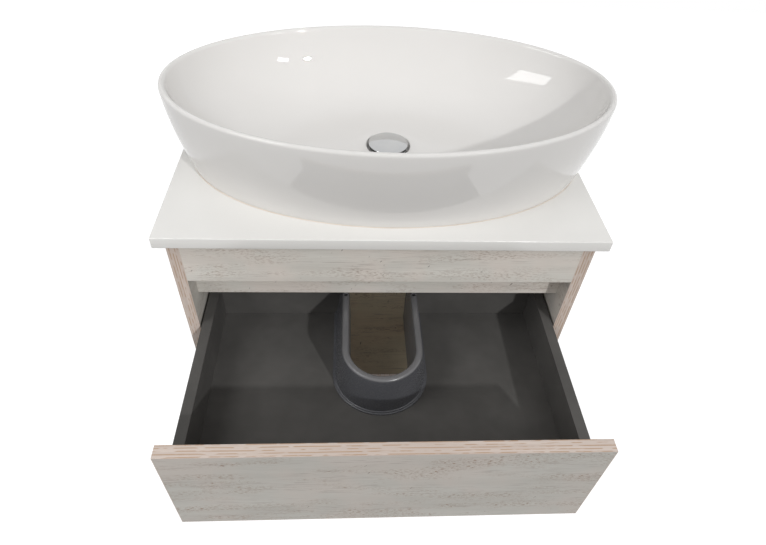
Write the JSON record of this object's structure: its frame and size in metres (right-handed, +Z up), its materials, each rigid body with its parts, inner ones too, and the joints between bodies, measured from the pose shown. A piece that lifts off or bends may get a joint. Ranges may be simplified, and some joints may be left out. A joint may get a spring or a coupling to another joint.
{
  "type": "wall-hung vanity unit with vessel basin and drawer",
  "caption": "Wall-hung vanity: oval vessel basin on a white top, wood-look carcass, and an open drawer cut out around the siphon.",
  "frame": {"origin": "on the wall plane, midway between the centres of the two wall plate holes", "axes": "+X to the user's right, +Y into the wall, +Z up; the drawer is drawn fully open towards -Y"},
  "size_m": [0.686, 0.7, 0.488],
  "materials": {
    "glaze": "gloss white glaze",
    "slab": "polished white solid surface",
    "laminate": "whitewashed weathered oak laminate, matt",
    "oak_band": "pale oak edge band, matt",
    "anthracite": "anthracite faced board, matt",
    "slate": "slate grey moulding, satin",
    "chrome": "polished chrome",
    "zinc": "zinc-plated steel",
    "rubber": "black rubber",
    "sealant": "beige sanitary sealant",
    "white_plastic": "white acetal",
    "grey_plastic": "grey moulding",
    "orange_plastic": "orange release lever",
    "green_plastic": "green ball cage",
    "beech": "beech dowel",
    "ball_steel": "polished bearing balls"
  },
  "bodies": {
    "cabinet": {"countertop": "slab", "slab_brackets": "zinc", "slab_screws": "zinc", "basin": "glaze", "basin_sealant": "sealant", "click_cartridge": "white_plastic", "waste_body": "chrome", "waste_seal": "rubber", "waste_gasket": "rubber", "waste_nut": "chrome", "trap_inlet_pipe": "chrome", "trap_inlet_nut": "chrome", "trap_body": "chrome", "trap_cup": "chrome", "trap_seals": "rubber", "outlet_nut": "chrome", "outlet_pipe": "chrome", "wall_rosette": "chrome", "side_panel_left": "laminate", "side_panel_right": "laminate", "side_edging": "oak_band", "fascia": "laminate", "grip_rail": "laminate", "hanging_rail": "laminate", "rear_rail": "laminate", "bottom_panel": "laminate", "dowels": "beech", "cam_discs": "zinc", "cam_bolts": "zinc", "hanger_boxes": "white_plastic", "hanger_hooks": "zinc", "hanger_screws": "zinc", "wall_plates": "zinc", "cabinet_rail_left": "zinc", "cabinet_rail_right": "zinc", "rail_screws": "zinc"},
    "drawer": {"drawer_rail_left": "zinc", "drawer_rail_right": "zinc", "lock_clip_left": "grey_plastic", "lock_clip_right": "grey_plastic", "drawer_front": "laminate", "drawer_front_edging": "oak_band", "drawer_side_left": "anthracite", "drawer_side_right": "anthracite", "drawer_bottom": "anthracite", "drawer_back_left": "anthracite", "drawer_back_right": "anthracite", "drawer_dowels": "beech", "drawer_cams": "zinc", "drawer_screws": "zinc", "siphon_collar": "slate", "collar_screws": "zinc"},
    "ball_cage_left_body": {"ball_cage_left": "green_plastic", "rail_balls_left": "ball_steel"},
    "ball_cage_right_body": {"ball_cage_right": "green_plastic", "rail_balls_right": "ball_steel"},
    "pop_up_cap": {"drain_cap": "chrome", "cap_seal": "rubber"},
    "lever_left": {"release_lever_left": "orange_plastic"},
    "lever_right": {"release_lever_right": "orange_plastic"}
  },
  "joints": [
    {"name": "drawer_slide", "type": "slide", "parent": "cabinet", "child": "drawer", "axis": [0, 1, 0], "range_m": [0, 0.264]},
    {"name": "cage_roll_left", "type": "slide", "parent": "cabinet", "child": "ball_cage_left_body", "axis": [0, 1, 0], "range_m": [0, 0.132]},
    {"name": "cage_roll_right", "type": "slide", "parent": "cabinet", "child": "ball_cage_right_body", "axis": [0, 1, 0], "range_m": [0, 0.132]},
    {"name": "cap_press", "type": "slide", "parent": "cabinet", "child": "pop_up_cap", "axis": [0, 0, -1], "range_m": [0, 0.005]},
    {"name": "lever_left_pivot", "type": "hinge", "parent": "drawer", "child": "lever_left", "pos_m": [-0.248, -0.642, -0.208], "axis": [0, 0, 1], "range_deg": [0, 12], "stiffness_Nm_per_rad": 0.05},
    {"name": "lever_right_pivot", "type": "hinge", "parent": "drawer", "child": "lever_right", "pos_m": [0.248, -0.642, -0.208], "axis": [0, 0, -1], "range_deg": [0, 12], "stiffness_Nm_per_rad": 0.05}
  ],
  "couplings": [
    {"joint": "cage_roll_left", "follows": "drawer_slide", "ratio": 0.5},
    {"joint": "cage_roll_right", "follows": "drawer_slide", "ratio": 0.5}
  ]
}
